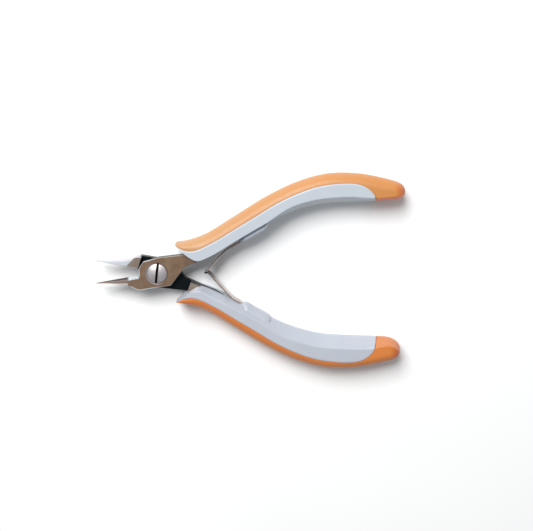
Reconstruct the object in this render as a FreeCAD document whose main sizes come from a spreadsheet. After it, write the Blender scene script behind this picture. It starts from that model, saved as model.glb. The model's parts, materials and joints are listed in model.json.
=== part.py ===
import FreeCAD, Part
import Sketcher
import math
import os

# Sprue nippers, drawn open and lying flat.  Millimetres, +Z up, jaws towards -X, handles towards +X.
# Every piece of a half is drawn in that half's own frame: pivot at the origin, handles closed,
# mid-plane of the tool at Z = 0.  The piece's Placement then swings the half open.
# The back half is the front one turned over about its length, apart from its screw hole and its
# spring blade.

DIMENSIONS = {
    "pivot_x": -38.7,         # pivot axis, from the middle of the whole tool
    "mid_z": 6.5,             # mid-plane above the table
    "half_opening": 10.0,     # each half's swing from closed, degrees
    "steel_thick": 6.6,
    "lap_gap": 0.1,           # between the two lap faces
    "edge_chamfer": 0.25,
    "jaw_tip_thick": 1.8,
    "jaw_taper_start": -13.4,
    "jaw_reach": 27.0,        # just past the jaw's point
    "edge_gap": 0.05,         # each cutting edge to the line the two share when closed
    "bevel_width": 1.0,       # inner bevel that leaves the cutting edge
    "bevel_land": 0.5,
    "bevel_end": 8.5,
    "shank_dia": 5.0,
    "shank_clearance": 0.05,  # radial, the turning fit
    "thread_dia": 4.0,
    "thread_lead": 0.5,
    "head_dia": 8.2,
    "head_seat_z": 2.5,
    "head_rim": 0.9,
    "head_dome": 0.8,
    "slot_width": 1.0,
    "slot_depth": 1.3,
    "slot_turn": 83.0,        # degrees from the tool's length
    "counterbore_dia": 8.8,
    "counterbore_depth": 0.85,
    "grip_thick": 13.0,
    "cover_step": 0.3,        # the core stands this proud of the cover
    "cover_round": 3.4,
    "facet_width": 2.4,       # slope along the core's inner side
    "facet_depth": 5.0,
    "clip_width": 6.6,
    "strip_width": 5.0,
    "strip_thick": 0.6,
    "bend_gap": 0.05,         # round a blade's rounded end, where it turns in its root
    "tongue_width": 1.8,
    "fork_width": 2.6,
}

FRONT = "front"
BACK = "back"

# Steel lever, from the cutting edge's tip round the outside of the jaw to the tang.
JAW_TIP = [(-26.6, -0.05), (-26.5, -0.35)]
JAW_BACK = [(-26.5, -0.35), (-22.0, -0.8), (-17.2, -1.85), (-13.4, -2.95)]
JAW_HEEL = [(-13.4, -2.95), (-12.4, -3.3), (-9.6, -5.4), (-8.2, -5.8)]
LAP_BELOW = [(-8.2, -5.8), (-2.2, -5.8), (4.6, -6.1), (10.7, -0.6), (11.9, 0.6), (14.2, 1.1), (17.6, 2.0)]
TANG = [(17.6, 2.0), (21.0, 2.8), (25.4, 3.7), (29.0, 5.3), (31.5, 6.9), (38.0, 10.0), (45.0, 12.9),
        (59.0, 17.4), (58.0, 20.2), (45.0, 15.6), (26.0, 8.0), (17.0, 6.0), (13.2, 5.9)]
LAP_ABOVE = [(13.2, 5.9), (2.0, 6.5), (-4.7, 6.0), (-7.0, 3.6), (-7.7, 0.0), (-8.3, -0.05), (-26.6, -0.05)]
LAP_RECESS = [(-8.25, -0.2), (-7.2, -8.0), (16.0, -8.0), (14.9, -0.7), (13.7, 5.9), (13.3, 9.0), (-8.6, 9.0)]
SOCKET_MOUTH = [(8.0, 5.9), (8.0, 0.5), (20.0, 1.0), (28.5, 3.5)]

# Handle, seen from above: inner side, outer side from the flared front end round the tail, and the
# line where the soft cover meets the hard core.
FRONT_FLARE = [(9.7, 11.3), (10.5, 9.7), (13.2, 6.2), (15.9, 3.6), (18.6, 2.5)]
GRIP_INNER = [(18.6, 2.5), (25.4, 3.9), (34.5, 7.1), (48.0, 11.6), (59.5, 14.5), (72.0, 15.7), (85.0, 14.4),
              (96.4, 12.7), (104.6, 12.0)]
GRIP_OUTER = [(9.7, 11.3), (14.0, 11.1), (22.5, 12.5), (36.5, 18.0), (50.5, 23.6), (64.0, 27.4), (77.0, 28.6),
              (89.5, 26.5), (101.5, 22.0), (107.2, 18.4), (107.6, 14.0), (104.6, 12.0)]
COLOUR_LINE = [(95.7, 10.0), (94.4, 17.0), (91.8, 20.6), (88.0, 22.8), (80.0, 24.3), (71.5, 24.4), (63.0, 23.0),
               (54.0, 20.4), (45.0, 16.8), (35.6, 13.1), (26.4, 9.5), (17.4, 7.2), (13.3, 8.1), (8.0, 11.2)]
CORE_SIDE = [(8.0, 11.2), (8.0, 0.0), (95.7, 0.0), (95.7, 10.0)]
COVER_SIDE = [(8.0, 11.2), (8.0, 32.0), (112.0, 32.0), (112.0, 10.0), (95.7, 10.0)]

# Spring: the clamped root, the line it bends at, the two free blades, and what is cut from their tips.
# The front half's blade ends in a tongue, the back half's in a fork that hooks round it.
SPRING_BEND = (33.4, 5.6)
ROOT_LINE = [SPRING_BEND, (36.6, 6.7), (47.0, 10.25)]
BLADE_LINES = {
    FRONT: [(19.9, -3.6), (22.3, -1.65), (24.5, 0.15), (26.9, 2.15), (29.6, 3.95), SPRING_BEND],
    BACK: [(19.5, -3.4), (20.3, -3.75), (21.1, -3.75), (22.9, -2.5), (25.9, 0.0), (28.8, 2.3), (31.2, 4.15),
           SPRING_BEND],
}
TONGUE_REACH = [(18.5, -5.5), (23.2, -2.6), (21.4, -0.9), (18.5, -2.0)]
FORK_REACH = [(18.0, -5.5), (24.7, -3.5), (22.8, -1.2), (18.0, -1.5)]
CLIP = [(36.7, 6.1), (38.2, 6.3), (43.0, 7.9), (48.6, 10.3), (50.5, 11.6), (50.9, 13.4), (45.0, 11.8), (36.0, 8.5)]


def make_sheet(doc):
    """The driving dimensions, one aliased cell each."""
    sheet = doc.addObject("Spreadsheet::Sheet", "Dims")
    for row, (alias, value) in enumerate(DIMENSIONS.items(), start=1):
        sheet.set("A%d" % row, alias)
        sheet.set("B%d" % row, str(value))
        sheet.setAlias("B%d" % row, alias)
    doc.recompute()
    return sheet


def dim(doc, alias):
    """A driving dimension as a number."""
    return float(doc.Dims.get(alias))


def half_placement(doc, side):
    """Swing a half open; the back half is turned over about its length first."""
    swing = dim(doc, "half_opening")
    spot = FreeCAD.Vector(dim(doc, "pivot_x"), 0, dim(doc, "mid_z"))
    if side == FRONT:
        return FreeCAD.Placement(spot, FreeCAD.Rotation(FreeCAD.Vector(0, 0, 1), swing))
    turned = FreeCAD.Rotation(FreeCAD.Vector(1, 0, 0), 180)
    swung = FreeCAD.Rotation(FreeCAD.Vector(0, 0, 1), -swing)
    return FreeCAD.Placement(spot, swung.multiply(turned))


def new_body(doc, name, side):
    body = doc.addObject("PartDesign::Body", name)
    body.Label = name
    body.Placement = half_placement(doc, side)
    return body


def new_sketch(body, name, plane="XY_Plane", offset=None):
    """A sketch on one of the body's origin planes, optionally lifted by an expression."""
    sketch = body.newObject("Sketcher::SketchObject", name)
    support = [item for item in body.Origin.OriginFeatures if item.Role == plane][0]
    sketch.AttachmentSupport = [(support, "")]
    sketch.MapMode = "FlatFace"
    if offset:
        sketch.setExpression("AttachmentOffset.Base.z", offset)
    return sketch


def vectors(points):
    return [FreeCAD.Vector(x, y, 0) for x, y in points]


def add_lines(sketch, points):
    corners = vectors(points)
    for start, end in zip(corners, corners[1:]):
        sketch.addGeometry(Part.LineSegment(start, end), False)


def add_polygon(sketch, points):
    add_lines(sketch, points + points[:1])


def add_spline(sketch, points):
    curve = Part.BSplineCurve()
    curve.interpolate(vectors(points))
    sketch.addGeometry(curve, False)


def add_circle(sketch, diameter, centre=None):
    """A circle at the sketch's origin, or at a given centre, with its diameter bound to the sheet."""
    x, y = centre or (0, 0)
    index = sketch.addGeometry(Part.Circle(FreeCAD.Vector(x, y, 0), FreeCAD.Vector(0, 0, 1), 1.0), False)
    if centre:
        sketch.addConstraint(Sketcher.Constraint("DistanceX", -1, 1, index, 3, x))
        sketch.addConstraint(Sketcher.Constraint("DistanceY", -1, 1, index, 3, y))
    else:
        sketch.addConstraint(Sketcher.Constraint("Coincident", index, 3, -1, 1))
    number = sketch.addConstraint(Sketcher.Constraint("Diameter", index, 2.0))
    sketch.setExpression("Constraints[%d]" % number, diameter)


def pad(body, sketch, name, length):
    """A pad of the given expression, half to each side of its sketch."""
    feature = body.newObject("PartDesign::Pad", name)
    feature.Profile = sketch
    feature.SideType = "Symmetric"
    feature.setExpression("Length", length)
    body.Document.recompute()
    return feature


def pocket(body, sketch, name, length=None, both=False, flip=False):
    """A cut by an expression's depth, or through everything; it must take material away."""
    before = body.Shape.Volume
    feature = body.newObject("PartDesign::Pocket", name)
    feature.Profile = sketch
    feature.SideType = "Symmetric" if both else "One side"
    feature.Reversed = flip
    if length:
        feature.setExpression("Length", length)
    else:
        feature.Type = "ThroughAll"
    body.Document.recompute()
    if body.Shape.Volume > before - 1e-3:
        raise RuntimeError("%s cuts nothing" % name)
    return feature


def edges_where(body, test):
    """Names of the last feature's edges that pass a test in the half's own frame."""
    return ["Edge%d" % (i + 1) for i, edge in enumerate(body.Tip.Shape.Edges) if test(edge)]


def dress(body, kind, name, edges, size, second=None):
    """A fillet or chamfer on the named edges of the body's last feature."""
    base = body.Tip
    feature = body.newObject("PartDesign::" + kind, name)
    feature.Base = (base, edges)
    if kind == "Fillet":
        feature.setExpression("Radius", size)
    else:
        feature.setExpression("Size", size)
    if second:
        feature.ChamferType = "Two distances"
        feature.FlipDirection = True
        feature.setExpression("Size2", second)
    body.Document.recompute()
    return feature


def at_height(edge, height):
    """True where an edge lies flat at +height or -height."""
    box = edge.BoundBox
    return box.ZLength < 1e-4 and abs(abs(box.ZMin) - height) < 1e-3


def make_lever(doc, name, side):
    """Jaw, half-thickness lap and tang in one."""
    body = new_body(doc, name, side)
    outline = new_sketch(body, name + "_outline")
    add_lines(outline, JAW_TIP)
    add_spline(outline, JAW_BACK)
    for run in (JAW_HEEL, LAP_BELOW, TANG, LAP_ABOVE):
        add_lines(outline, run)
    pad(body, outline, name + "_plate", "Dims.steel_thick")

    recess = new_sketch(body, name + "_recess", offset="Dims.lap_gap / 2")
    add_polygon(recess, LAP_RECESS)
    pocket(body, recess, name + "_lap")

    half = dim(doc, "steel_thick") / 2
    tip = dim(doc, "jaw_tip_thick") / 2
    start = dim(doc, "jaw_taper_start")
    point = -dim(doc, "jaw_reach")
    taper = new_sketch(body, name + "_taper", plane="XZ_Plane")
    for sign in (1, -1):
        add_polygon(taper, [(start, sign * half), (point, sign * tip), (point, sign * (half + 1)),
                            (start, sign * (half + 1))])
    pocket(body, taper, name + "_point", both=True)

    width = dim(doc, "bevel_width")
    land = dim(doc, "bevel_land") / 2
    edge = -dim(doc, "edge_gap")
    bevel = new_sketch(body, name + "_bevel", plane="YZ_Plane", offset="-Dims.bevel_end")
    for sign in (1, -1):
        add_polygon(bevel, [(edge, sign * land), (-width, sign * half), (-width, sign * (half + 1)),
                            (1.0, sign * (half + 1)), (1.0, sign * land)])
    pocket(body, bevel, name + "_edge")

    bore = new_sketch(body, name + "_bore")
    diameter = "Dims.shank_dia + 2 * Dims.shank_clearance" if side == FRONT else "Dims.thread_dia"
    add_circle(bore, diameter)
    pocket(body, bore, name + "_hole", both=True)
    if side == FRONT:
        seat = new_sketch(body, name + "_seat", offset="Dims.steel_thick / 2")
        add_circle(seat, "Dims.counterbore_dia")
        pocket(body, seat, name + "_counterbore", length="Dims.counterbore_depth")

    def is_rim(edge):
        box = edge.BoundBox
        on_lap = box.ZMin > 0 and box.XMin > -12.5 and box.XMax < 17.7 and box.XLength > 0.1
        on_heel = box.ZMin < 0 and box.XMin > -12.5 and box.YMax < -3.3 and box.XMax < -7.4
        return at_height(edge, half) and (on_lap or on_heel)

    dress(body, "Chamfer", name + "_rim", edges_where(body, is_rim), "Dims.edge_chamfer")
    return body


def make_screw(doc, name):
    """The slotted pan head, plain shank and threaded end, turned about the pivot axis."""
    body = new_body(doc, name, FRONT)
    body.Placement = FreeCAD.Placement(FreeCAD.Vector(dim(doc, "pivot_x"), 0, dim(doc, "mid_z")),
                                       FreeCAD.Rotation(FreeCAD.Vector(0, 0, 1), 0))
    head = dim(doc, "head_dia") / 2
    shank = dim(doc, "shank_dia") / 2
    thread = dim(doc, "thread_dia") / 2
    seat = dim(doc, "head_seat_z")
    rim = seat + dim(doc, "head_rim")
    top = rim + dim(doc, "head_dome")
    lap = dim(doc, "lap_gap") / 2
    foot = -dim(doc, "steel_thick") / 2
    lead = dim(doc, "thread_lead")
    profile = new_sketch(body, name + "_profile", plane="XZ_Plane")
    add_lines(profile, [(0, top), (0, foot), (thread - lead, foot), (thread, foot + lead), (thread, -lap),
                        (shank, -lap), (shank, seat), (head, seat), (head, rim)])
    dome = (head ** 2 + (top - rim) ** 2) / (2 * (top - rim))
    crown = FreeCAD.Vector(head / 2, top - dome + math.sqrt(dome ** 2 - (head / 2) ** 2), 0)
    profile.addGeometry(Part.Arc(FreeCAD.Vector(head, rim, 0), crown, FreeCAD.Vector(0, top, 0)), False)
    turn = body.newObject("PartDesign::Revolution", name + "_turned")
    turn.Profile = profile
    turn.ReferenceAxis = (profile, ["V_Axis"])
    turn.Angle = 360
    doc.recompute()

    slot = new_sketch(body, name + "_slot", offset="Dims.head_seat_z + Dims.head_rim + Dims.head_dome")
    wide = dim(doc, "slot_width") / 2
    angle = math.radians(dim(doc, "slot_turn"))
    along = (math.cos(angle), math.sin(angle))
    corners = [(head + 1, wide), (-head - 1, wide), (-head - 1, -wide), (head + 1, -wide)]
    add_polygon(slot, [(x * along[0] - y * along[1], x * along[1] + y * along[0]) for x, y in corners])
    pocket(body, slot, name + "_groove", length="Dims.slot_depth")
    return body


def make_grip_blank(body, name, thick):
    """A whole handle: rounded outside, sloped facets along the inside."""
    outline = new_sketch(body, name + "_outline")
    add_spline(outline, GRIP_INNER)
    add_spline(outline, GRIP_OUTER)
    add_spline(outline, FRONT_FLARE)
    pad(body, outline, name + "_blank", thick)
    half = body.Tip.Shape.BoundBox.ZMax

    def is_inner(edge):
        return at_height(edge, half) and edge.BoundBox.XLength > 50 and edge.BoundBox.YMax < 17

    def is_outer(edge):
        return at_height(edge, half) and edge.BoundBox.YMax > 26

    dress(body, "Chamfer", name + "_facet", edges_where(body, is_inner), "Dims.facet_width", "Dims.facet_depth")
    dress(body, "Fillet", name + "_round", edges_where(body, is_outer), "Dims.cover_round")


def keep_one_side(body, name, removed):
    """Cut the blank along the colour line."""
    split = new_sketch(body, name + "_split")
    add_spline(split, COLOUR_LINE)
    add_lines(split, removed)
    pocket(body, split, name + "_trim", both=True)


def make_core(doc, name, side):
    """The hard inner half of a handle, hollow for the tang and notched for the spring's clip."""
    body = new_body(doc, name, side)
    make_grip_blank(body, name, "Dims.grip_thick")
    keep_one_side(body, name, COVER_SIDE)
    tang = new_sketch(body, name + "_tang")
    add_polygon(tang, TANG[4:] + SOCKET_MOUTH)
    pocket(body, tang, name + "_socket", length="Dims.steel_thick", both=True)
    notch = new_sketch(body, name + "_notch")
    add_polygon(notch, CLIP)
    pocket(body, notch, name + "_clip_seat", length="Dims.clip_width", both=True)
    return body


def make_cover(doc, name, side):
    """The soft outer cover and the whole tail of a handle."""
    body = new_body(doc, name, side)
    make_grip_blank(body, name, "Dims.grip_thick - 2 * Dims.cover_step")
    keep_one_side(body, name, CORE_SIDE)
    return body


def strip_outline(sketch, line, thick, round_end=False):
    """A thin strip either side of a smooth line; its last end can be rounded about the line's end."""
    curve = Part.BSplineCurve()
    curve.interpolate(vectors(line))
    steps = len(line) - 1
    first, last = curve.FirstParameter, curve.LastParameter
    sides = ([], [])
    for i in range(2 * steps + 1):
        at = first + (last - first) * i / (2 * steps)
        spot = curve.value(at)
        along = curve.tangent(at)[0]
        across = FreeCAD.Vector(-along.y, along.x, 0) * (thick / 2)
        sides[0].append(((spot + across).x, (spot + across).y))
        sides[1].append(((spot - across).x, (spot - across).y))
    add_spline(sketch, sides[0])
    add_spline(sketch, sides[1])
    add_lines(sketch, [sides[0][0], sides[1][0]])
    if round_end:
        ends = vectors([sides[0][-1], sides[1][-1]])
        sketch.addGeometry(Part.Arc(ends[0], spot + along * (thick / 2), ends[1]), False)
    else:
        add_lines(sketch, [sides[0][-1], sides[1][-1]])


def make_strip(doc, name, side, line, round_end=False):
    body = new_body(doc, name, side)
    outline = new_sketch(body, name + "_outline")
    strip_outline(outline, line, dim(doc, "strip_thick"), round_end)
    pad(body, outline, name + "_strip", "Dims.strip_width")
    return body


def make_root(doc, name, side):
    """The clamped end of a spring, hollowed for the blade's rounded end."""
    body = make_strip(doc, name, side, ROOT_LINE)
    bend = new_sketch(body, name + "_bend")
    add_circle(bend, "Dims.strip_thick + 2 * Dims.bend_gap", SPRING_BEND)
    pocket(body, bend, name + "_hollow", both=True)
    return body


def make_blade(doc, name, side):
    """The free blade: a tongue at the front half's tip, a fork at the back half's."""
    body = make_strip(doc, name, side, BLADE_LINES[side], round_end=True)
    if side == BACK:
        slot = new_sketch(body, name + "_fork")
        add_polygon(slot, FORK_REACH)
        pocket(body, slot, name + "_slot", length="Dims.fork_width", both=True)
        return body
    for label, sign, flip in (("above", 1, True), ("below", -1, False)):
        cut = new_sketch(body, name + "_" + label, offset="%d * Dims.tongue_width / 2" % sign)
        add_polygon(cut, TONGUE_REACH)
        pocket(body, cut, name + "_shoulder_" + label, flip=flip)
    return body


def make_clip(doc, name, side):
    """The boss that holds the spring's root against the handle."""
    body = new_body(doc, name, side)
    outline = new_sketch(body, name + "_outline")
    add_polygon(outline, CLIP)
    pad(body, outline, name + "_block", "Dims.clip_width")
    groove = new_sketch(body, name + "_groove")
    strip_outline(groove, ROOT_LINE, dim(doc, "strip_thick"))
    pocket(body, groove, name + "_slot", length="Dims.strip_width", both=True)
    return body


def make_all(doc):
    nodes = [make_lever(doc, "front_lever", FRONT), make_lever(doc, "back_lever", BACK),
             make_screw(doc, "pivot_screw")]
    for prefix, side in (("upper", FRONT), ("lower", BACK)):
        nodes.append(make_core(doc, prefix + "_grip_core", side))
        nodes.append(make_cover(doc, prefix + "_grip_cover", side))
        nodes.append(make_clip(doc, prefix + "_spring_clip", side))
        nodes.append(make_root(doc, prefix + "_spring_root", side))
        nodes.append(make_blade(doc, prefix + "_spring_blade", side))
    return nodes


def check(doc, nodes):
    """Stop before anything is written if a feature failed or a shape is not one sound solid."""
    for item in doc.Objects:
        if "Invalid" in item.State or "Error" in item.State:
            raise RuntimeError("%s is %s" % (item.Name, item.State))
    for node in nodes:
        if node.Shape.isNull() or not node.Shape.isValid() or len(node.Shape.Solids) != 1:
            raise RuntimeError("%s has a bad shape" % node.Label)


def main():
    doc = FreeCAD.newDocument("sprue_nippers")
    make_sheet(doc)
    nodes = make_all(doc)
    doc.recompute()
    check(doc, nodes)
    os.makedirs("parts", exist_ok=True)
    for node in nodes:
        node.Shape.exportStep("parts/%s.step" % node.Label)


main()
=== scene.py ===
import json
import math
import bmesh
import bpy
from mathutils import Matrix, Vector


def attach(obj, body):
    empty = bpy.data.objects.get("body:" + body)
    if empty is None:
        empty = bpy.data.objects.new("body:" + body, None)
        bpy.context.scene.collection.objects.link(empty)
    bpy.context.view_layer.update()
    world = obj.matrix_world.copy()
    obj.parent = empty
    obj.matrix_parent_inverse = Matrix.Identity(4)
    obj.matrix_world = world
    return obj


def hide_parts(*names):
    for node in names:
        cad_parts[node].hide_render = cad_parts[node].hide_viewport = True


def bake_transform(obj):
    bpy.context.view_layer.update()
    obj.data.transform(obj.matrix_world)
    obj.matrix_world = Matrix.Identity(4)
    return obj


# Sprue nippers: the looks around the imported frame.  Metres, +Z up, jaws towards -X.
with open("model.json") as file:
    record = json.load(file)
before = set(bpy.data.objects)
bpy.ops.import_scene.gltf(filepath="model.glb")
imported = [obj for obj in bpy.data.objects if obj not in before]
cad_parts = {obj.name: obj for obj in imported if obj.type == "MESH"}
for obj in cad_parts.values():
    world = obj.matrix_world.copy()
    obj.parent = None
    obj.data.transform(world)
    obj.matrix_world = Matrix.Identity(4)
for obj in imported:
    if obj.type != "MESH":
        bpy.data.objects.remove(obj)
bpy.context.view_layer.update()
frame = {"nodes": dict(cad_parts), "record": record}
MM = 0.001
UPPER, LOWER = 1, -1
PREFIX = {UPPER: "upper", LOWER: "lower"}
LEVER_BODY = {UPPER: "front_lever_body", LOWER: "back_lever_body"}

JOINTS = {joint["name"]: joint for joint in frame["record"]["behaviour"]["joints"]}
PIVOT = Vector(JOINTS["handle_pivot"]["pos_m"])
SWING = math.radians(JOINTS["handle_pivot"]["range_deg"][1] / 2)

# Handle outline in the half's own closed frame, millimetres from the pivot, as the CAD draws it.
INNER_EDGE = [(9.75, 10.35), (10.6, 9.2), (13.2, 6.2), (15.9, 3.6), (17.4, 2.75), (19.0, 2.5), (21.5, 2.95),
              (25.4, 3.9), (34.5, 7.1), (48.0, 11.6), (59.5, 14.5), (72.0, 15.7), (85.0, 14.4), (96.4, 12.8),
              (102.5, 12.4), (105.8, 13.0), (107.3, 14.5), (107.7, 16.4)]
OUTER_EDGE = [(9.9, 11.15), (14.0, 11.1), (22.5, 12.5), (36.5, 18.0), (50.5, 23.6), (64.0, 27.4),
              (77.0, 28.6), (89.5, 26.5), (101.5, 22.0), (105.6, 19.9), (107.2, 18.4), (107.7, 16.4)]
COLOUR_LINE = [(95.7, 10.0), (94.4, 17.0), (91.8, 20.6), (88.0, 22.8), (80.0, 24.3), (71.5, 24.4),
               (63.0, 23.0), (54.0, 20.4), (45.0, 16.8), (35.6, 13.1), (26.4, 9.5), (17.4, 7.2), (13.3, 8.1),
               (10.7, 9.9), (8.6, 11.6)]
HALF_THICK = 6.5
COVER_STEP = 0.3
LAND = 1.0
LIP_RISE = 1.7              # beside the lower tang the grip's inner rim lies on the steel, this much higher
LIP_REACH = 1.3             # and overhangs it by this much
OUTER_ROUND = 4.8
CORE_STEP = (0.5, 0.25)     # how far from the colour line its edge is rounded, and by how much
COVER_STEP_EDGE = (0.35, 0.12)
CAP_SHIFT = {UPPER: 0.0, LOWER: 1.0}    # the lower tail's cap starts a little further back
STATIONS = 170
CREASE_ROWS = (0.03, 0.25, 0.5, 0.75, 0.88, 0.96, 1.04, 1.14, 1.3, 1.55)    # in facet widths
LEAN = 1.1                  # the upper handle is this much slimmer inside, the lower one this much fuller

# Blade springs: centre lines from the tip through the bend to the clamped end.
SPRING_TAIL = [(33.4, 5.6), (36.6, 6.7), (41.0, 8.15), (47.0, 10.25)]
SPRING_LINE = {
    UPPER: [(19.9, -3.6), (22.3, -1.65), (24.5, 0.15), (26.9, 2.15), (29.6, 3.95)] + SPRING_TAIL,
    LOWER: [(19.5, -3.4), (20.3, -3.75), (21.1, -3.75), (22.9, -2.5), (25.9, 0.0), (28.8, 2.3),
            (31.2, 4.15)] + SPRING_TAIL,
}
# Spring clips: the edge that stands out of the handle, and the line buried in it.
CLIP_EDGE = {
    UPPER: [(36.3, 7.4), (36.8, 6.7), (38.4, 6.9), (41.0, 7.65), (44.6, 8.95), (48.4, 10.65), (49.9, 12.4),
            (50.3, 14.2)],
    LOWER: [(36.6, 7.8), (37.1, 7.0), (39.3, 6.6), (43.0, 8.0), (49.0, 10.1), (50.5, 11.2), (51.1, 12.9)],
}
CLIP_BACK = {
    UPPER: [(36.8, 10.4), (43.0, 12.8), (50.2, 15.5)],
    LOWER: [(36.8, 10.3), (43.0, 12.4), (50.9, 14.6)],
}
CLIP_STEPS = 48
# A clip's section: distance in from its edge, height above the mid-plane.
CLIP_PROFILE = {
    UPPER: [(0, 0), (0, 2.2), (0.1, 2.7), (0.4, 3.2), (0.7, 3.9), (0.8, 4.6), (1.0, 4.95), (1.3, 5.0),
            (1.8, 4.4)],
    LOWER: [(0, 0), (0, 1.5), (0.08, 2.1), (0.35, 2.7), (0.9, 3.3), (1.7, 3.9), (2.6, 4.4)],
}
STRIP_HALF = (0.28, 2.5)    # half thickness, half width
TONGUE = (0.9, 3.0)         # half width, length along the strip
FORK = (1.3, 5.2)
CLIP_MOUTH = 35.9           # where the strip starts to narrow into its clip
HELD_NARROWER = 1.5
STRIP_STEPS = 120

# Steel and plastic.
METALLIC = 0.75
# Pale bluish white: painted highlights and sky reflections on the levers' chamfers and jaw bevels.
PALE_EDGE = (0.80, 0.86, 0.93)
# Near-black with a teal cast: the levers' side walls and lap, partly dark oxide and partly painted shade.
DARK_WALL = (0.004, 0.009, 0.011)
# Near-black: painted shade where the spring tips meet; the front jaw's dark cutting edge uses it too.
DARK_POINT = (0.03, 0.022, 0.018)
SLOT_TURN = math.radians(83)    # the screw's slot, from the tool's length
HEEL_X = -8.2                   # where the jaws end and the lap begins

# The camera looks down on the tool, leaning towards the upper handle, with the handles at the right.
CAMERA_TILT = math.radians(11.5)
CAMERA_DISTANCE = 0.3444
CAMERA_LENS = 55.1
CAMERA_AIM = PIVOT + Vector((45.9, 2.8, 0)) * MM


def to_row(x, y, z, side):
    """A point of a half's own closed frame, in millimetres, placed in the open tool's frame."""
    turned_x = x * math.cos(SWING) - y * math.sin(SWING)
    turned_y = x * math.sin(SWING) + y * math.cos(SWING)
    return Vector((PIVOT.x + turned_x * MM, side * turned_y * MM, PIVOT.z + z * MM))


def smooth_line(points, count):
    """A smooth curve through the points, as count + 1 points evenly spaced along it."""
    pts = [Vector(p) for p in points]
    pts = [pts[0] * 2 - pts[1]] + pts + [pts[-1] * 2 - pts[-2]]
    dense = []
    for i in range(1, len(pts) - 2):
        p0, p1, p2, p3 = pts[i - 1:i + 3]
        t1 = (p1 - p0).length ** 0.5
        t2 = t1 + (p2 - p1).length ** 0.5
        t3 = t2 + (p3 - p2).length ** 0.5
        for k in range(24):
            t = t1 + (t2 - t1) * k / 24
            a1 = p0 * ((t1 - t) / t1) + p1 * (t / t1)
            a2 = p1 * ((t2 - t) / (t2 - t1)) + p2 * ((t - t1) / (t2 - t1))
            a3 = p2 * ((t3 - t) / (t3 - t2)) + p3 * ((t - t2) / (t3 - t2))
            b1 = a1 * ((t2 - t) / t2) + a2 * (t / t2)
            b2 = a2 * ((t3 - t) / (t3 - t1)) + a3 * ((t - t1) / (t3 - t1))
            dense.append(b1 * ((t2 - t) / (t2 - t1)) + b2 * ((t - t1) / (t2 - t1)))
    dense.append(pts[-2])
    return along_line(dense, [k / count for k in range(count + 1)])


def along_line(dense, fractions):
    """Points at these fractions of a polyline's length."""
    reach = [0.0]
    for a, b in zip(dense, dense[1:]):
        reach.append(reach[-1] + (b - a).length)
    found, at = [], 0
    for fraction in fractions:
        want = fraction * reach[-1]
        while at < len(reach) - 2 and reach[at + 1] < want:
            at += 1
        span = max(reach[at + 1] - reach[at], 1e-9)
        found.append(dense[at].lerp(dense[at + 1], min(max((want - reach[at]) / span, 0), 1)))
    return found


def crossing(a, b, line):
    """How far from a towards b the polyline is crossed, or None."""
    ab = b - a
    for p, q in zip(line, line[1:]):
        pq = q - p
        det = ab.x * pq.y - ab.y * pq.x
        if abs(det) < 1e-12:
            continue
        ap = p - a
        s = (ap.x * pq.y - ap.y * pq.x) / det
        u = (ap.x * ab.y - ap.y * ab.x) / det
        if 0 <= s <= 1 and 0 <= u <= 1:
            return s * ab.length
    return None


def soft_min(a, b, blend):
    """The smaller of two numbers, rounded where they meet."""
    h = min(max(0.5 + 0.5 * (b - a) / blend, 0), 1)
    return b * (1 - h) + a * h - blend * h * (1 - h)


def ease(value):
    """A smooth rise from 0 to 1."""
    t = min(max(value, 0), 1)
    return t * t * (3 - 2 * t)


def lean_at(x, side):
    """How far the inner side's lean is developed at this distance from the pivot."""
    ending = 1 - 0.8 * ease((x - 102) / 5.7)
    if side == UPPER:
        return ease((x - 40) / 18) * ending
    return (0.5 * ease((x - 16) / 5) + 0.5 * ease((x - 25) / 6)) * ending


def facet_at(x, side):
    """Width of the slope along the inner side."""
    if side == UPPER:
        return 0.25 + 0.65 * ease((x - 18) / 20) + 1.5 * ease((x - 46) / 18) - 0.9 * ease((x - 82) / 14)
    return 0.8 + 1.5 * ease((x - 13) / 12) + 1.5 * ease((x - 40) / 18) - 2.0 * ease((x - 90) / 14)


def handle_stations(side):
    """Cross lines of the handle from the flared front to the tail's tip, with what each one needs."""
    leaning = [(x, y + side * LEAN * lean_at(x, side)) for x, y in INNER_EDGE[:-1]] + INNER_EDGE[-1:]
    fractions = []
    for k in range(STATIONS + 1):
        f = k / STATIONS
        fractions.append(f if f < 0.9 else 0.9 + 0.1 * math.sin((f - 0.9) / 0.1 * math.pi / 2))
    inner = along_line(smooth_line(leaning, 600), fractions)
    outer = along_line(smooth_line(OUTER_EDGE, 600), fractions)
    colour = smooth_line([(x + CAP_SHIFT[side] * ease((x - 80) / 8), y) for x, y in COLOUR_LINE], 500)
    tip = Vector(INNER_EDGE[-1])
    front = (inner[0] + outer[0]) / 2
    found = []
    seen_end = False
    for k, (a, b) in enumerate(zip(inner, outer)):
        width = (b - a).length
        across = (b - a) / width if width > 1e-6 else Vector((0, 1))
        ahead = inner[min(k + 1, STATIONS)] - inner[max(k - 1, 0)]
        square_in = abs(across.x * -ahead.y + across.y * ahead.x) / max(ahead.length, 1e-9)
        ahead = outer[min(k + 1, STATIONS)] - outer[max(k - 1, 0)]
        square_out = abs(across.x * -ahead.y + across.y * ahead.x) / max(ahead.length, 1e-9)
        cut = crossing(a, b, colour)
        if cut is None or seen_end:
            seen_end = k > STATIONS / 2
            cut = 0.0
        from_tip = min(((a + b) / 2 - tip).length / 5.5, 1)
        from_front = min(((a + b) / 2 - front).length / 4.0, 1)
        rounding = (1 - (1 - from_tip) ** 2.6) ** (1 / 2.2) * (1 - 0.35 * (1 - from_front) ** 2)
        found.append({
            "start": a, "across": across, "width": width, "cut": cut,
            "facet": min(facet_at(a.x, side) / max(square_in, 0.5), 0.3 * width),
            "round": min(OUTER_ROUND / max(square_out, 0.5), 0.52 * width),
            "height": HALF_THICK * rounding,
            "lip": 0.0 if side == UPPER else ease((a.x - 15) / 3) * (1 - ease((a.x - 29) / 3)),
        })
    return found


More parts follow.
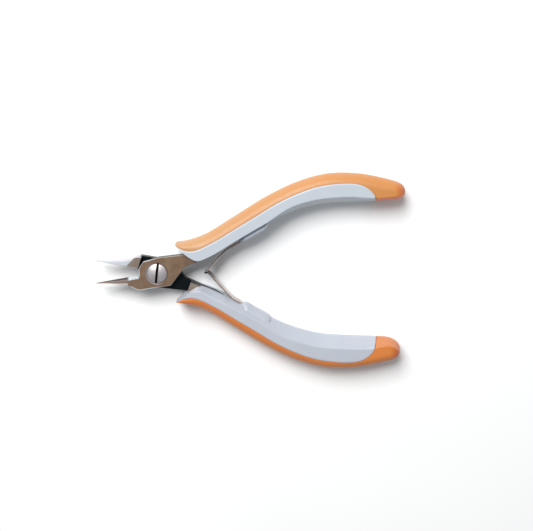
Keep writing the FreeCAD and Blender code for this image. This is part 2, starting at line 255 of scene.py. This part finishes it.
def surface_height(station, d):
    """Height of the handle's upper surface above its mid-plane, at distance d from the inner edge."""
    high, facet = station["height"], max(station["facet"], 1e-6)
    land = min(LAND + LIP_RISE * station["lip"], 0.5 * high)
    slope = land + (high - land) * d / facet
    height = soft_min(slope, high, 0.12 * high + 1e-6)
    start = station["width"] - station["round"]
    if d > start:
        q = min((d - start) / max(station["round"], 1e-6), 1)
        height *= (1 - q ** 2.3) ** (1 / 2.1)
    return max(height, 0)


def step_drop(gap, step):
    """How much an edge at the colour line is rounded off, at this distance from it."""
    span, drop = step
    return drop * (1 - min(max(gap / span, 0), 1)) ** 2.4


def core_section(station):
    """Upper half of a core's cross-section as (distance, height), from the inner edge to the colour line."""
    facet, cut = station["facet"], station["cut"]
    edge = max(cut - CORE_STEP[0], 0)
    rows = [min(f * facet, edge) for f in CREASE_ROWS]
    rows += [rows[-1] + (edge - rows[-1]) * f for f in (0.2, 0.4, 0.6, 0.8, 1.0)]
    rows += [edge + (cut - edge) * f for f in (0.25, 0.5, 0.68, 0.82, 0.92, 1.0)]
    rim = surface_height(station, 0) * 0.9
    under = LIP_REACH * station["lip"]
    section = [(under, 0.0), (under, rim * 0.93), (0.0, rim)]
    for d in rows:
        section.append((d, max(surface_height(station, d) - step_drop(cut - d, CORE_STEP), 0.0)))
    last = section[-1][1]
    return [(min(d, cut), z) for d, z in section] + [(cut, last * f) for f in (0.66, 0.33, 0.0)]


def cover_section(station):
    """Upper half of a cover's cross-section, from the colour line to the outer edge."""
    facet, cut, width = station["facet"], station["cut"], station["width"]
    start = width - station["round"]
    span = min(COVER_STEP_EDGE[0], 0.3 * (width - cut))
    near = [cut + span * f for f in (0.0, 0.08, 0.18, 0.32, 0.5, 0.75, 1.0)]
    if cut <= 0:
        near = [0.0] * 7
    rows = near + [max(f * facet, near[-1]) for f in CREASE_ROWS]
    rows += [rows[-1] + max(start - rows[-1], 0) * f for f in (0.35, 0.7, 1.0)]
    turns = [math.sin(math.radians(a)) for a in (8, 17, 26, 35, 44, 53, 62, 70, 77, 83, 87, 90)]
    rows += [max(rows[-1], start) + (width - max(rows[-1], start)) * f for f in turns]
    lowered = (HALF_THICK - COVER_STEP) / HALF_THICK
    section = []
    for d in rows:
        drop = step_drop(d - cut, COVER_STEP_EDGE) if cut > 0 else 0.0
        section.append((d, max(surface_height(station, d) * lowered - drop, 0.0)))
    foot = section[0][1]
    return [(cut, foot * f) for f in (0.0, 0.33, 0.66)] + section


def loft(name, rings, side):
    """A closed skin over rings of points given in the half's own frame, capped at its first ring."""
    mesh = bmesh.new()
    grid = [[mesh.verts.new(to_row(p[0], p[1], p[2], side)) for p in ring] for ring in rings]
    count = len(grid[0])
    for low, high in zip(grid, grid[1:]):
        for j in range(count):
            k = (j + 1) % count
            mesh.faces.new((low[j], low[k], high[k], high[j]))
    for ring in (grid[0], grid[-1]):
        centre = mesh.verts.new(sum((v.co for v in ring), Vector()) / count)
        for j in range(count):
            mesh.faces.new((ring[j], ring[(j + 1) % count], centre))
    bmesh.ops.remove_doubles(mesh, verts=mesh.verts, dist=2e-6)
    bmesh.ops.dissolve_degenerate(mesh, edges=mesh.edges, dist=1e-6)
    bmesh.ops.recalc_face_normals(mesh, faces=mesh.faces)
    return to_object(name, mesh)


def to_object(name, mesh, smooth_angle=40):
    """Turn a bmesh into an object, smooth but for its sharp edges."""
    data = bpy.data.meshes.new(name)
    mesh.to_mesh(data)
    mesh.free()
    piece = bpy.data.objects.new(name, data)
    bpy.context.scene.collection.objects.link(piece)
    data.shade_smooth()
    data.set_sharp_from_angle(angle=math.radians(smooth_angle))
    return piece


def ring_of(station, section, inset=0.0, ahead=0.0):
    """A cross-section closed round the mid-plane, as points of the half's own frame."""
    loop = section + [(d, -z) for d, z in reversed(section)]
    low = min(d for d, _ in section)
    high = max(d for d, _ in section)
    top = max(z for _, z in section)
    shrink_d = 1 - 2 * inset / max(high - low, 2 * inset + 0.1)
    shrink_z = 1 - inset / max(top, inset + 0.1)
    middle = (low + high) / 2
    forward = Vector((station["across"].y, -station["across"].x)) * ahead
    ring = []
    for d, z in loop:
        spot = station["start"] + station["across"] * (middle + (d - middle) * shrink_d) + forward
        ring.append((spot.x, spot.y, z * shrink_z))
    return ring


def make_handle_piece(name, side, section_of, keep):
    """A core or a cover: its cross-sections from the rounded front edge to its end."""
    stations = [s for s in handle_stations(side) if keep(s)]
    first = stations[0]
    rings = [ring_of(first, section_of(first), inset, ahead)
             for inset, ahead in ((0.7, 0.0), (0.33, 0.1), (0.1, 0.33))]
    rings += [ring_of(s, section_of(s)) for s in stations[1:]]
    return loft(name, rings, side)


def strip_ring(spot, along, low, high, thin=1.0):
    """A rounded rectangle across a spring strip, from one height to another."""
    across = Vector((-along.y, along.x))
    half = STRIP_HALF[0] * thin
    lip = min(half * 0.55, (high - low) / 4)
    corners = [(-half, low + lip), (-half, high - lip), (-half + lip, high), (half - lip, high),
               (half, high - lip), (half, low + lip), (half - lip, low), (-half + lip, low)]
    return [((spot + across * d).x, (spot + across * d).y, z) for d, z in corners]


def make_spring(name, side):
    """One bent strip from its tongue or fork to its clamped end."""
    line = smooth_line(SPRING_LINE[side], STRIP_STEPS)
    reach = [0.0]
    for a, b in zip(line, line[1:]):
        reach.append(reach[-1] + (b - a).length)
    along = [(line[min(i + 1, STRIP_STEPS)] - line[max(i - 1, 0)]).normalized() for i in range(len(line))]
    wide = STRIP_HALF[1]
    inner, length = TONGUE if side == UPPER else FORK
    tips = [(-inner, inner)] if side == UPPER else [(-wide, -inner), (inner, wide)]
    shells = [[strip_ring(line[i], along[i], low, high, 0.97)
               for i in range(len(line)) if reach[i] < length + 0.4]
              for low, high in tips]
    held = [wide - HELD_NARROWER * ease((spot.x - CLIP_MOUTH) / 1.9) for spot in line]
    shells.append([strip_ring(line[i], along[i], -held[i], held[i])
                   for i in range(len(line)) if reach[i] > length])
    parts = [loft(name, rings, side) for rings in shells]
    mesh = bmesh.new()
    for part in parts:
        mesh.from_mesh(part.data)
        bpy.data.objects.remove(part)
    piece = to_object(name, mesh)
    piece.data.materials.append(STRIP_STEEL[side])
    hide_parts(PREFIX[side] + "_spring_blade", PREFIX[side] + "_spring_root")
    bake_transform(piece)
    return piece


def make_clip(name, side):
    """The moulded boss over the spring's root: low at its front, rounded at its far end."""
    edges = smooth_line(CLIP_EDGE[side], CLIP_STEPS)
    backs = smooth_line(CLIP_BACK[side], CLIP_STEPS)
    rings = []
    for k, (edge, back) in enumerate(zip(edges, backs)):
        width = (back - edge).length
        rise = (0.5 + 0.5 * ease(k / 10)) * (1 - 0.5 * (max(k - CLIP_STEPS + 6, 0) / 6) ** 2)
        station = {"start": edge, "across": (back - edge) / width}
        profile = [(min(d, 0.9 * width), z * rise) for d, z in CLIP_PROFILE[side]]
        rings.append(ring_of(station, profile + [(width, profile[-1][1])]))
    return loft(name, rings, side)


# Materials.
def new_material(name):
    """A new node material, its nodes, its links and its shader."""
    material = bpy.data.materials.new(name)
    material.use_nodes = True
    nodes = material.node_tree.nodes
    return material, nodes, material.node_tree.links, nodes["Principled BSDF"]


def noise(nodes, links, source, scale, detail=4.0, rough=0.55):
    """Noise over a place."""
    node = nodes.new("ShaderNodeTexNoise")
    node.inputs["Scale"].default_value = scale
    node.inputs["Detail"].default_value = detail
    node.inputs["Roughness"].default_value = rough
    links.new(source, node.inputs["Vector"])
    return node.outputs["Fac"]


def remap(nodes, links, value, low, high, from_low=0.3, from_high=0.7):
    """A value moved from one range to another, held at its ends."""
    node = nodes.new("ShaderNodeMapRange")
    node.inputs["From Min"].default_value = from_low
    node.inputs["From Max"].default_value = from_high
    node.inputs["To Min"].default_value = low
    node.inputs["To Max"].default_value = high
    links.new(value, node.inputs["Value"])
    return node.outputs["Result"]


def number(nodes, links, operation, first, second=0.0):
    """A math node over sockets or numbers."""
    node = nodes.new("ShaderNodeMath")
    node.operation = operation
    for socket, value in zip(node.inputs, (first, second)):
        if isinstance(value, (int, float)):
            socket.default_value = value
        else:
            links.new(value, socket)
    return node.outputs["Value"]


def mix_colours(nodes, links, factor, first, second):
    """From the first colour to the second as the factor rises."""
    node = nodes.new("ShaderNodeMix")
    node.data_type = "RGBA"
    links.new(factor, node.inputs["Factor"])
    for socket, colour in ((node.inputs["A"], first), (node.inputs["B"], second)):
        if isinstance(colour, tuple):
            socket.default_value = (*colour, 1)
        else:
            links.new(colour, socket)
    return node.outputs["Result"]


def bump(nodes, links, height, strength, distance, before=None):
    """A bumped normal, over an earlier one if given."""
    node = nodes.new("ShaderNodeBump")
    node.inputs["Strength"].default_value = strength
    node.inputs["Distance"].default_value = distance
    links.new(height, node.inputs["Height"])
    if before:
        links.new(before, node.inputs["Normal"])
    return node.outputs["Normal"]


def stretched(nodes, links, source, scale, turn=0.0):
    """A place scaled along its axes after a turn about Z."""
    node = nodes.new("ShaderNodeMapping")
    node.inputs["Scale"].default_value = scale
    node.inputs["Rotation"].default_value = (0, 0, turn)
    links.new(source, node.inputs["Vector"])
    return node.outputs["Vector"]


def plastic_material(name, base, deep, gloss, grain):
    """Moulded plastic: slight cloudiness, a fine grain and uneven gloss."""
    material, nodes, links, shader = new_material(name)
    place = nodes.new("ShaderNodeTexCoord").outputs["Object"]
    cloud = remap(nodes, links, noise(nodes, links, place, 90, 3), 0, 1)
    links.new(mix_colours(nodes, links, cloud, base, deep), shader.inputs["Base Color"])
    rough = noise(nodes, links, place, 700, 4)
    links.new(remap(nodes, links, rough, gloss - 0.05, gloss + 0.07), shader.inputs["Roughness"])
    fine = noise(nodes, links, place, 5200, 2)
    links.new(bump(nodes, links, fine, grain, 0.00004), shader.inputs["Normal"])
    return material


def cover_material(name, side, front, rear, tip, inner):
    """Soft orange cover: a colour for its front, its rear, its tail's tip and its inner slope, and a grain;
    the tip colour is painted shade, and the front and inner-slope colours carry painted light and shade.
    """
    material, nodes, links, shader = new_material(name)
    place = nodes.new("ShaderNodeTexCoord").outputs["Object"]
    split = nodes.new("ShaderNodeSeparateXYZ")
    links.new(place, split.inputs["Vector"])
    # Painted highlight: the front takes the front colour, fading to the rear colour.
    along = remap(nodes, links, split.outputs["X"], 0, 1, -0.03, 0.06)
    length = mix_colours(nodes, links, along, front, rear)
    # Painted shade: the tail's rounded tip darkens to the tip colour.
    tail = remap(nodes, links, split.outputs["X"], 0, 0.75, 0.0595, 0.0635)
    length = mix_colours(nodes, links, tail, length, tip)
    # Painted light and shade: the slope facing the other handle takes the inner colour, towards the rear.
    facing = nodes.new("ShaderNodeSeparateXYZ")
    links.new(nodes.new("ShaderNodeTexCoord").outputs["Normal"], facing.inputs["Vector"])
    slope_light_and_shade = number(nodes, links, "MULTIPLY", facing.outputs["Y"], -side)
    slope_light_and_shade = number(nodes, links, "MULTIPLY", remap(nodes, links, slope_light_and_shade, 0, 1, 0.4, 0.7), along)
    length = mix_colours(nodes, links, slope_light_and_shade, length, inner)
    cloud = remap(nodes, links, noise(nodes, links, place, 140, 4), 0, 0.35)
    links.new(mix_colours(nodes, links, cloud, length, rear), shader.inputs["Base Color"])
    rough = noise(nodes, links, place, 900, 3)
    links.new(remap(nodes, links, rough, 0.42, 0.56), shader.inputs["Roughness"])
    pebble = nodes.new("ShaderNodeTexVoronoi")
    pebble.inputs["Scale"].default_value = 2600
    links.new(place, pebble.inputs["Vector"])
    soft = noise(nodes, links, place, 4200, 2)
    grain = bump(nodes, links, pebble.outputs["Distance"], 0.12, 0.00006)
    links.new(bump(nodes, links, soft, 0.10, 0.00004, grain), shader.inputs["Normal"])
    shader.inputs["Sheen Weight"].default_value = 0.08
    return material


def half_frame(nodes, links, side):
    """The surface point in its half's own closed frame, in millimetres from the pivot."""
    place = nodes.new("ShaderNodeTexCoord").outputs["Object"]
    shift = nodes.new("ShaderNodeVectorMath")
    shift.operation = "SUBTRACT"
    links.new(place, shift.inputs[0])
    shift.inputs[1].default_value = PIVOT
    turn = nodes.new("ShaderNodeVectorRotate")
    turn.rotation_type = "Z_AXIS"
    turn.inputs["Angle"].default_value = -side * SWING
    links.new(shift.outputs["Vector"], turn.inputs["Vector"])
    scale = nodes.new("ShaderNodeVectorMath")
    scale.operation = "MULTIPLY"
    links.new(turn.outputs["Vector"], scale.inputs[0])
    scale.inputs[1].default_value = (1 / MM, side / MM, side / MM)
    split = nodes.new("ShaderNodeSeparateXYZ")
    links.new(scale.outputs["Vector"], split.inputs["Vector"])
    return scale.outputs["Vector"], split.outputs["X"], split.outputs["Y"], split.outputs["Z"]


def uprightness(nodes, links):
    """1 where a surface faces straight up or down, 0 on a side wall."""
    split = nodes.new("ShaderNodeSeparateXYZ")
    links.new(nodes.new("ShaderNodeTexCoord").outputs["Normal"], split.inputs["Vector"])
    return number(nodes, links, "ABSOLUTE", split.outputs["Z"])


def ground_steel(nodes, links, where, base, deep, turn):
    """Ground steel's colour and streaks: fine lines along one direction over small stains."""
    lines = noise(nodes, links, stretched(nodes, links, where, (0.22, 8.0, 1.0), turn), 1.0, 5, 0.6)
    stains = noise(nodes, links, where, 0.26, 5, 0.6)
    tone = mix_colours(nodes, links, remap(nodes, links, stains, 0, 1, 0.35, 0.7), base, deep)
    streaks = remap(nodes, links, lines, 0, 0.3, 0.35, 0.75)
    return mix_colours(nodes, links, streaks, tone, tuple(c * 0.6 for c in deep)), lines


def finish_steel(nodes, links, shader, colour, lines, rough, streak):
    """Wire a steel's colour, uneven gloss and fine relief to its shader."""
    links.new(colour, shader.inputs["Base Color"])
    links.new(remap(nodes, links, lines, rough - 0.07, rough + 0.1), shader.inputs["Roughness"])
    links.new(bump(nodes, links, lines, streak, 0.00003), shader.inputs["Normal"])
    shader.inputs["Metallic"].default_value = METALLIC


def both(nodes, links, first, second):
    """The product of two masks."""
    return number(nodes, links, "MULTIPLY", first, second)


def front_jaw(nodes, links, colour, x, y):
    """The front lever's jaw: dark along its cutting edge, with painted highlights along its back and at its
    inner step.
    """
    outer = number(nodes, links, "MULTIPLY_ADD", x, -0.19)
    outer.node.inputs[2].default_value = -5.3
    share = number(nodes, links, "DIVIDE", y, outer)
    middle = remap(nodes, links, share, 0, 1, 0.12, 0.30)
    back = remap(nodes, links, share, 0, 1, 0.55, 0.75)
    point = mix_colours(nodes, links, middle, DARK_POINT, (0.30, 0.22, 0.185))
    # Painted highlight: the jaw's back bevel turns pale.
    point = mix_colours(nodes, links, back, point, (0.80, 0.73, 0.70))
    colour = mix_colours(nodes, links, remap(nodes, links, x, 1, 0, -13.2, -12.8), colour, point)
    # Painted highlight: a pale bluish band at the inner step ahead of the heel.
    inner = remap(nodes, links, y, 0, 1, -0.98, -0.85)
    inner = both(nodes, links, inner, remap(nodes, links, x, 1, 0, -8.0, -7.8))
    inner = both(nodes, links, inner, remap(nodes, links, x, 0, 1, -13.0, -12.2))
    return mix_colours(nodes, links, inner, colour, PALE_EDGE)


def back_jaw(nodes, links, colour, x, y, up):
    """The back lever's jaw: painted highlights on its point and on the sloped band round its heel."""
    slant = number(nodes, links, "MULTIPLY_ADD", y, 0.712)
    links.new(x, slant.node.inputs[2])
    # Painted highlight: the jaw's point turns pale bluish white.
    colour = mix_colours(nodes, links, remap(nodes, links, slant, 1, 0, -13.9, -13.7), colour, PALE_EDGE)
    ahead = remap(nodes, links, x, 1, 0, HEEL_X - 0.1, HEEL_X + 0.1)
    # Painted highlight: sloped faces ahead of the heel turn pale.
    heel = both(nodes, links, remap(nodes, links, up, 1, 0, 0.85, 0.95), ahead)
    return mix_colours(nodes, links, heel, colour, (0.62, 0.585, 0.64))


def lever_material(name, side, base, deep):
    """A lever: brown ground faces; side walls and lap near-black, partly dark oxide and partly painted shade;
    painted highlights on its chamfers; a jaw ground to its point, with painted highlights on its bevels.
    """
    material, nodes, links, shader = new_material(name)
    where, x, y, z = half_frame(nodes, links, side)
    colour, lines = ground_steel(nodes, links, where, base, deep, 0.25)
    up = uprightness(nodes, links)
    # Painted highlight: sloped chamfer faces turn pale, fully ahead of the joint and faintly behind it.
    chamfer_glint = remap(nodes, links, up, 0, 1, 0.35, 0.5)
    chamfer_glint = both(nodes, links, chamfer_glint, remap(nodes, links, up, 1, 0, 0.9, 0.97))
    chamfer_glint = both(nodes, links, chamfer_glint, remap(nodes, links, x, 1, 0.25, -4.0, 2.0))
    colour = mix_colours(nodes, links, chamfer_glint, colour, PALE_EDGE)
    # Side walls and the lap recess darken to near-black: partly dark oxide, partly painted shade.
    wall = remap(nodes, links, up, 1, 0, 0.2, 0.4)
    if side == LOWER:
        wall = both(nodes, links, wall, remap(nodes, links, x, 0, 1, HEEL_X - 0.1, HEEL_X + 0.1))
    lap = remap(nodes, links, number(nodes, links, "ABSOLUTE", z), 1, 0, 0.3, 0.6)
    lap = both(nodes, links, lap, remap(nodes, links, x, 0, 1, HEEL_X, HEEL_X + 0.3))
    colour = mix_colours(nodes, links, number(nodes, links, "MAXIMUM", wall, lap), colour, DARK_WALL)
    if side == UPPER:
        colour = front_jaw(nodes, links, colour, x, y)
    else:
        colour = back_jaw(nodes, links, colour, x, y, up)
    finish_steel(nodes, links, shader, colour, lines, 0.36, 0.15)
    return material


def plain_steel(name, side, base, deep, rough, tip_shade_span):
    """A strip of brighter steel, with painted shade darkening it towards its tip between two distances from
    the pivot.
    """
    material, nodes, links, shader = new_material(name)
    where, x, _, _ = half_frame(nodes, links, side)
    colour, lines = ground_steel(nodes, links, where, base, deep, 0.0)
    # Painted shade: the tip, where the two springs meet, goes near-black.
    colour = mix_colours(nodes, links, remap(nodes, links, x, 1, 0, *tip_shade_span), colour, DARK_POINT)
    finish_steel(nodes, links, shader, colour, lines, rough, 0.12)
    return material


def screw_material(name, base, deep):
    """The turned screw: fine rings about its axis, and painted shade darkening its slot."""
    material, nodes, links, shader = new_material(name)
    where, x, y, _ = half_frame(nodes, links, UPPER)
    radius = nodes.new("ShaderNodeVectorMath")
    radius.operation = "LENGTH"
    flat = nodes.new("ShaderNodeCombineXYZ")
    links.new(x, flat.inputs["X"])
    links.new(y, flat.inputs["Y"])
    links.new(flat.outputs["Vector"], radius.inputs[0])
    rings = noise(nodes, links, radius.outputs["Value"], 9.0, 3)
    cloud = noise(nodes, links, where, 0.9, 3)
    colour = mix_colours(nodes, links, remap(nodes, links, cloud, 0, 1), base, deep)
    turn = SLOT_TURN - SWING
    across = number(nodes, links, "MULTIPLY", x, -math.sin(turn))
    across = number(nodes, links, "ADD", across, number(nodes, links, "MULTIPLY", y, math.cos(turn)))
    # Painted shade: the slot goes near-black.
    slot = remap(nodes, links, number(nodes, links, "ABSOLUTE", across), 1, 0, 0.5, 0.56)
    colour = mix_colours(nodes, links, slot, colour, (0.006, 0.005, 0.005))
    finish_steel(nodes, links, shader, colour, rings, 0.44, 0.10)
    return material


def dress_node(name, material, bevel=0.0, segments=2):
    """A carried-over CAD node: its material, and a fine bevel where its edges are rubbed."""
    node = frame["nodes"][name]
    node.data.materials.clear()
    node.data.materials.append(material)
    if bevel:
        soften = node.modifiers.new("worn_edges", "BEVEL")
        soften.width = bevel * MM
        soften.segments = segments
        soften.limit_method = "ANGLE"
        soften.angle_limit = math.radians(32)
        soften.harden_normals = False


FRONT_STEEL = lever_material("ground_steel", UPPER, (0.37, 0.25, 0.168), (0.265, 0.168, 0.108))
BACK_STEEL = lever_material("lap_steel", LOWER, (0.42, 0.34, 0.29), (0.28, 0.22, 0.185))
SCREW_STEEL = screw_material("screw_steel", (0.57, 0.55, 0.575), (0.46, 0.425, 0.435))
STRIP_STEEL = {
    UPPER: plain_steel("upper_strip", UPPER, (0.72, 0.60, 0.55), (0.52, 0.42, 0.37), 0.30, (18.5, 20.0)),
    LOWER: plain_steel("lower_strip", LOWER, (0.66, 0.56, 0.51), (0.46, 0.38, 0.33), 0.30, (20.8, 24.0)),
}
# The lower core is a darker copy of the same grey plastic: painted shade.
CORE = {
    UPPER: plastic_material("upper_core", (0.475, 0.53, 0.58), (0.455, 0.50, 0.565), 0.33, 0.10),
    LOWER: plastic_material("lower_core", (0.44, 0.48, 0.535), (0.425, 0.455, 0.525), 0.33, 0.10),
}
# Painted light and shade: the upper front is paler with a painted highlight and its inner slope deeper red in
# painted shade; the lower cover is a deeper copy in painted shade, its inner slope paler in painted light;
# both tails' tips are painted shade.
COVER = {
    UPPER: cover_material("upper_cover", UPPER, front=(0.49, 0.275, 0.135), rear=(0.53, 0.215, 0.053),
                          tip=(0.55, 0.085, 0.018), inner=(0.85, 0.13, 0.02)),
    LOWER: cover_material("lower_cover", LOWER, front=(0.61, 0.18, 0.038), rear=(0.60, 0.19, 0.038),
                          tip=(0.53, 0.06, 0.010), inner=(0.56, 0.22, 0.09)),
}

dress_node("front_lever", FRONT_STEEL, 0.06)
dress_node("back_lever", BACK_STEEL, 0.06)
dress_node("pivot_screw", SCREW_STEEL, 0.12, 3)

for half in (UPPER, LOWER):
    prefix = PREFIX[half]
    core = make_handle_piece(prefix + "_core", half, core_section, lambda s: s["cut"] > 0.02)
    cover = make_handle_piece(prefix + "_cover", half, cover_section, lambda s: True)
    clip = make_clip(prefix + "_clip", half)
    for piece, node, material, slot in ((core, "_grip_core", CORE[half], "core_plastic"),
                                        (clip, "_spring_clip", CORE[half], "core_plastic"),
                                        (cover, "_grip_cover", COVER[half], "cover_plastic")):
        piece.data.materials.append(material)
        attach(piece, LEVER_BODY[half])
        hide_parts(prefix + node)
    make_spring(prefix + "_spring", half)


# Studio.
def add_area(name, spot, aim, size, power, colour):
    """A soft rectangular light aimed at a point."""
    data = bpy.data.lights.new(name, "AREA")
    data.shape = "RECTANGLE"
    data.size, data.size_y = size
    data.energy = power
    data.color = colour
    lamp = bpy.data.objects.new(name, data)
    lamp.location = spot
    lamp.rotation_mode = "QUATERNION"
    lamp.rotation_quaternion = (Vector(aim) - Vector(spot)).to_track_quat("-Z", "Y")
    bpy.context.scene.collection.objects.link(lamp)


def make_studio():
    """A pale surround and one soft light from beyond the upper handle."""
    bpy.context.scene.view_settings.view_transform = "Standard"
    world = bpy.data.worlds.new("studio")
    world.use_nodes = True
    world.node_tree.nodes["Background"].inputs["Color"].default_value = (0.97, 0.98, 1.0, 1)
    world.node_tree.nodes["Background"].inputs["Strength"].default_value = 0.33
    bpy.context.scene.world = world
    add_area("key", (-0.27, 0.60, 0.79), (0, 0, 0), (0.56, 0.56), 14.0, (1.0, 0.985, 0.965))


def make_floor():
    """A plain pale floor under the tool."""
    mesh = bmesh.new()
    bmesh.ops.create_grid(mesh, x_segments=2, y_segments=2, size=1.5)
    floor = to_object("floor", mesh)
    material, nodes, links, shader = new_material("floor_white")
    place = nodes.new("ShaderNodeTexCoord").outputs["Object"]
    shade = remap(nodes, links, noise(nodes, links, place, 8, 2), 0.0, 1.0)
    tone = mix_colours(nodes, links, shade, (0.915, 0.93, 0.94), (0.89, 0.905, 0.915))
    links.new(tone, shader.inputs["Base Color"])
    shader.inputs["Roughness"].default_value = 0.9
    floor.data.materials.append(material)


def make_camera():
    """The picture's camera."""
    data = bpy.data.cameras.new("camera")
    data.lens = CAMERA_LENS
    data.sensor_width = 36
    data.clip_start, data.clip_end = 0.01, 10
    camera = bpy.data.objects.new("camera", data)
    back = Vector((0, math.sin(CAMERA_TILT), math.cos(CAMERA_TILT)))
    up = Vector((0, math.cos(CAMERA_TILT), -math.sin(CAMERA_TILT)))
    right = up.cross(back)
    turn = Matrix((right, up, back)).transposed()
    camera.matrix_world = Matrix.LocRotScale(CAMERA_AIM + back * CAMERA_DISTANCE, turn, None)
    bpy.context.scene.collection.objects.link(camera)
    bpy.context.scene.camera = camera


make_studio()
make_floor()
make_camera()
